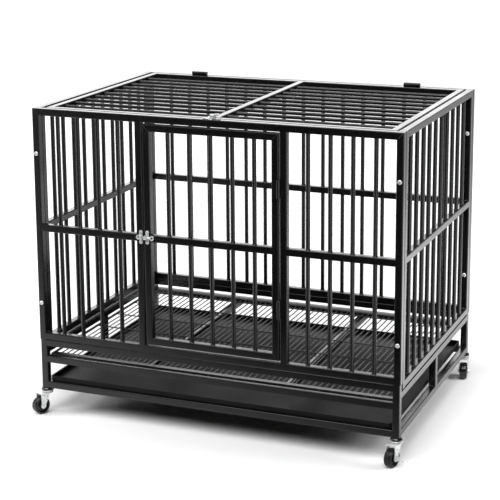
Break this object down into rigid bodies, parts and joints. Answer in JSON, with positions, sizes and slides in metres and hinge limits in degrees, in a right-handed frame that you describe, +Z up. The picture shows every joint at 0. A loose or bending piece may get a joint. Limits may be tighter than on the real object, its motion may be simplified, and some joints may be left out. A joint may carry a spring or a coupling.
{
  "type": "dog crate",
  "caption": "Heavy duty steel dog crate on swivel casters, with a barred door, a hinged barred lid, a wire floor and a slide-out tray.",
  "frame": {"origin": "on the floor under the middle of the cage", "axes": "+X to the right along the crate's length seen from the front, +Y to the rear, +Z up; the door faces -Y"},
  "size_m": [1.1167, 0.8171, 0.9011],
  "materials": {
    "black_powder_coat": "satin black powder coat on square steel tube",
    "wire_coat": "grey-black coated welded wire",
    "tray_sheet": "satin black coated sheet steel",
    "zinc_plate": "bright zinc plate",
    "black_plastic": "glossy black moulded plastic",
    "wheel_tread": "black moulded wheel, semi-matte"
  },
  "bodies": {
    "crate": {"base_corner_posts": "black_powder_coat", "base_front_rails": "black_powder_coat", "base_rear_rails": "black_powder_coat", "base_side_rails": "black_powder_coat", "base_side_struts": "black_powder_coat", "floor_bearers": "black_powder_coat", "tray_runners": "black_powder_coat", "front_top_rail": "black_powder_coat", "front_sill_rail": "black_powder_coat", "front_left_grille": "black_powder_coat", "front_right_grille": "black_powder_coat", "rear_panel": "black_powder_coat", "left_panel": "black_powder_coat", "right_panel": "black_powder_coat", "door_hinge_knuckles": "black_powder_coat", "lid_stops": "black_powder_coat", "lid_hinge_knuckles": "black_powder_coat", "floor_grid": "wire_coat", "corner_bolts": "zinc_plate", "corner_nuts": "zinc_plate", "corner_pegs": "zinc_plate", "door_hinge_pins": "zinc_plate", "door_keeper": "zinc_plate", "door_keeper_screws": "zinc_plate", "lid_hinge_pins": "zinc_plate", "lid_keeper": "zinc_plate", "lid_keeper_screws": "zinc_plate", "caster_caps": "black_plastic", "front_left_stem": "zinc_plate", "front_right_stem": "zinc_plate", "rear_left_stem": "zinc_plate", "rear_right_stem": "zinc_plate"},
    "door": {"door": "black_powder_coat", "door_hinge_sleeves": "black_powder_coat", "door_bolt_plate": "zinc_plate", "door_plate_screws": "zinc_plate"},
    "door_bolt": {"door_bolt": "zinc_plate"},
    "lid": {"lid": "black_powder_coat", "lid_hinge_sleeves": "black_powder_coat", "lid_bolt_plate": "zinc_plate", "lid_plate_screws": "zinc_plate"},
    "lid_bolt": {"lid_bolt": "zinc_plate"},
    "tray": {"tray": "tray_sheet"},
    "front_left_caster": {"front_left_fork": "zinc_plate", "front_left_axle": "zinc_plate"},
    "front_left_wheel": {"front_left_wheel": "wheel_tread"},
    "front_right_caster": {"front_right_fork": "zinc_plate", "front_right_axle": "zinc_plate"},
    "front_right_wheel": {"front_right_wheel": "wheel_tread"},
    "front_right_brake": {"front_right_brake_lever": "zinc_plate"},
    "rear_left_caster": {"rear_left_fork": "zinc_plate", "rear_left_axle": "zinc_plate"},
    "rear_left_wheel": {"rear_left_wheel": "wheel_tread"},
    "rear_left_brake": {"rear_left_brake_lever": "zinc_plate"},
    "rear_right_caster": {"rear_right_fork": "zinc_plate", "rear_right_axle": "zinc_plate"},
    "rear_right_wheel": {"rear_right_wheel": "wheel_tread"}
  },
  "joints": [
    {"name": "door_hinge", "type": "hinge", "parent": "crate", "child": "door", "pos_m": [0.19825, -0.3756, 0.5555], "axis": [0, 0, 1], "range_deg": [0, 170]},
    {"name": "door_bolt_slide", "type": "slide", "parent": "door", "child": "door_bolt", "axis": [-1, 0, 0], "range_m": [0, 0.009]},
    {"name": "lid_hinge", "type": "hinge", "parent": "crate", "child": "lid", "pos_m": [0, 0.3485, 0.8956], "axis": [-1, 0, 0], "range_deg": [0, 180]},
    {"name": "lid_bolt_slide", "type": "slide", "parent": "lid", "child": "lid_bolt", "axis": [0, -1, 0], "range_m": [0, 0.009]},
    {"name": "tray_slide", "type": "slide", "parent": "crate", "child": "tray", "axis": [0, -1, 0], "range_m": [0, 0.6]},
    {"name": "front_left_swivel", "type": "hinge", "parent": "crate", "child": "front_left_caster", "pos_m": [-0.523, -0.36, 0.075], "axis": [0, 0, 1], "continuous": true},
    {"name": "front_left_roll", "type": "hinge", "parent": "front_left_caster", "child": "front_left_wheel", "pos_m": [-0.53344, -0.38049, 0.025], "axis": [0.891, -0.454, 0], "continuous": true},
    {"name": "front_right_swivel", "type": "hinge", "parent": "crate", "child": "front_right_caster", "pos_m": [0.523, -0.36, 0.075], "axis": [0, 0, 1], "continuous": true},
    {"name": "front_right_roll", "type": "hinge", "parent": "front_right_caster", "child": "front_right_wheel", "pos_m": [0.51705, -0.38222, 0.025], "axis": [0.9659, -0.2588, 0], "continuous": true},
    {"name": "front_right_brake_turn", "type": "hinge", "parent": "front_right_caster", "child": "front_right_brake", "pos_m": [0.51705, -0.38222, 0.025], "axis": [0.9659, -0.2588, 0], "range_deg": [0, 25]},
    {"name": "rear_left_swivel", "type": "hinge", "parent": "crate", "child": "rear_left_caster", "pos_m": [-0.523, 0.36, 0.075], "axis": [0, 0, 1], "continuous": true},
    {"name": "rear_left_roll", "type": "hinge", "parent": "rear_left_caster", "child": "rear_left_wheel", "pos_m": [-0.52699, 0.38265, 0.025], "axis": [-0.9848, -0.1736, 0], "continuous": true},
    {"name": "rear_left_brake_turn", "type": "hinge", "parent": "rear_left_caster", "child": "rear_left_brake", "pos_m": [-0.52699, 0.38265, 0.025], "axis": [-0.9848, -0.1736, 0], "range_deg": [0, 25]},
    {"name": "rear_right_swivel", "type": "hinge", "parent": "crate", "child": "rear_right_caster", "pos_m": [0.523, 0.36, 0.075], "axis": [0, 0, 1], "continuous": true},
    {"name": "rear_right_roll", "type": "hinge", "parent": "rear_right_caster", "child": "rear_right_wheel", "pos_m": [0.52778, 0.3375, 0.025], "axis": [0.9781, 0.2079, 0], "continuous": true}
  ]
}
